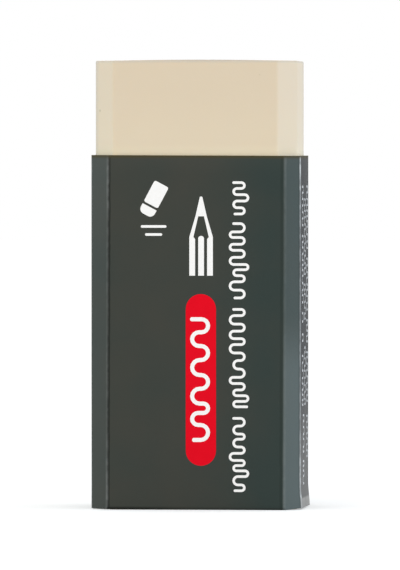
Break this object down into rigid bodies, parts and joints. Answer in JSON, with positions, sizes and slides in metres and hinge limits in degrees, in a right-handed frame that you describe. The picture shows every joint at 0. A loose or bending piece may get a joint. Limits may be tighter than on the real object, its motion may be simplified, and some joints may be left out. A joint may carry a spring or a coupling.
{
  "type": "block eraser",
  "caption": "Cream synthetic rubber block eraser with chamfered long edges, standing on its end in a folded, printed card sleeve that it slides out of as it wears.",
  "frame": {"origin": "middle of the block's lower end, on the surface that the eraser stands on", "axes": "+Z along the block, from the sleeved end to the bare end; -Y out of the front panel; +X to the right as the front panel is seen"},
  "size_m": [0.0196, 0.0131, 0.042],
  "materials": {
    "eraser_rubber": "matte",
    "printed_card": "satin"
  },
  "bodies": {
    "sleeve": {"card_sleeve": "printed_card"},
    "eraser": {"eraser_block": "eraser_rubber"}
  },
  "joints": [
    {"name": "eraser_slide", "type": "slide", "parent": "sleeve", "child": "eraser", "axis": [0, 0, 1], "range_m": [0, 0.027]}
  ]
}
